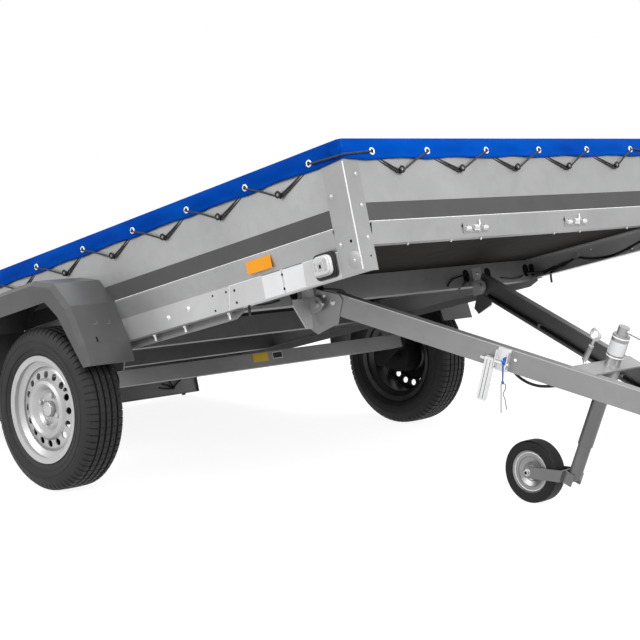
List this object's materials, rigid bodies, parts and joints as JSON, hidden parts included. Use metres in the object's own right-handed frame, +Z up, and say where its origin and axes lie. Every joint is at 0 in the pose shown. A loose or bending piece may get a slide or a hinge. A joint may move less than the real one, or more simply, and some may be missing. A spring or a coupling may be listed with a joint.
{
  "type": "utility trailer",
  "caption": "Single-axle tipping box trailer with a flat tarpaulin cover, V drawbar and jockey wheel, parked with its bed tipped nose-up.",
  "frame": {"origin": "bottom centre of the bounding box, on the ground", "axes": "+X forward towards the coupling, +Y to the trailer's left, +Z up"},
  "size_m": [3.4178, 1.94, 1.1464],
  "materials": {
    "galvanised": "satin",
    "zinc": "satin",
    "rim_silver": "satin",
    "tyre_black": "matte",
    "jockey_rubber": "matte",
    "fender_plastic": "satin",
    "black_plastic": "matte",
    "clear_lens": "gloss",
    "amber_lens": "gloss",
    "red_lens": "gloss",
    "floor_board": "satin",
    "tarpaulin": "satin",
    "blue_string": "matte"
  },
  "bodies": {
    "chassis": {"left_side_wall": "galvanised", "right_side_wall": "galvanised", "left_fender": "fender_plastic", "right_fender": "fender_plastic", "front_posts": "galvanised", "rear_posts": "galvanised", "side_rails": "galvanised", "side_plates": "galvanised", "side_angles": "galvanised", "swing_arms": "galvanised", "front_wall": "galvanised", "floor_panel": "floor_board", "front_cross_member": "galvanised", "mid_cross_members": "galvanised", "rear_cross_member": "galvanised", "axle_beam": "galvanised", "axle_brackets": "galvanised", "pivot_brackets": "zinc", "pivot_bolts": "zinc", "lamp_board": "galvanised", "rear_lamps": "red_lens", "marker_lamp_bases": "black_plastic", "marker_lamp_lenses": "clear_lens", "side_reflectors": "amber_lens", "lock_catches": "galvanised", "cover": "tarpaulin", "cover_hooks": "zinc", "tailgate_hinges": "galvanised"},
    "tailgate": {"tailgate": "galvanised"},
    "left_wheel": {"left_tyre": "tyre_black", "left_rim": "rim_silver", "left_hub": "galvanised"},
    "right_wheel": {"right_tyre": "tyre_black", "right_rim": "rim_silver", "right_hub": "galvanised"},
    "drawbar": {"left_drawbar_beam": "galvanised", "right_drawbar_beam": "galvanised", "pivot_plates": "galvanised", "jockey_bracket": "galvanised", "clamp_handle": "zinc", "coupling_head": "zinc", "coupling_handle": "zinc", "lock_bracket": "zinc", "lock_lever": "zinc", "wiring_harness": "black_plastic", "lanyard": "blue_string", "spring_clip": "zinc", "jockey_tube": "zinc", "jockey_head": "zinc", "jockey_crank": "zinc"},
    "jockey_leg": {"jockey_inner_tube": "zinc"},
    "jockey_fork": {"jockey_fork": "zinc"},
    "jockey_wheel": {"jockey_rim": "rim_silver", "jockey_tyre": "jockey_rubber"}
  },
  "joints": [
    {"name": "left_wheel_spin", "type": "hinge", "parent": "chassis", "child": "left_wheel", "pos_m": [-0.36284, 0.876, 0.2735], "axis": [0, 1, 0], "continuous": true},
    {"name": "right_wheel_spin", "type": "hinge", "parent": "chassis", "child": "right_wheel", "pos_m": [-0.36284, -0.876, 0.2735], "axis": [0, 1, 0], "continuous": true},
    {"name": "drawbar_tip", "type": "hinge", "parent": "chassis", "child": "drawbar", "pos_m": [0.42181, 0, 0.63117], "axis": [0, -1, 0], "range_deg": [0, 29.97]},
    {"name": "jockey_leg_slide", "type": "slide", "parent": "drawbar", "child": "jockey_leg", "axis": [0.3478, 0, 0.9376], "range_m": [-0.12, 0.088]},
    {"name": "jockey_swivel", "type": "hinge", "parent": "jockey_leg", "child": "jockey_fork", "pos_m": [1.1086, 0, 0.09872], "axis": [0.3478, 0, 0.9376], "continuous": true},
    {"name": "jockey_wheel_spin", "type": "hinge", "parent": "jockey_fork", "child": "jockey_wheel", "pos_m": [0.95716, 0, 0.1], "axis": [0, 1, 0], "continuous": true},
    {"name": "tailgate_hinge", "type": "hinge", "parent": "chassis", "child": "tailgate", "pos_m": [-1.63995, 0, 0.18466], "axis": [0, -1, 0], "range_deg": [0, 90]}
  ]
}
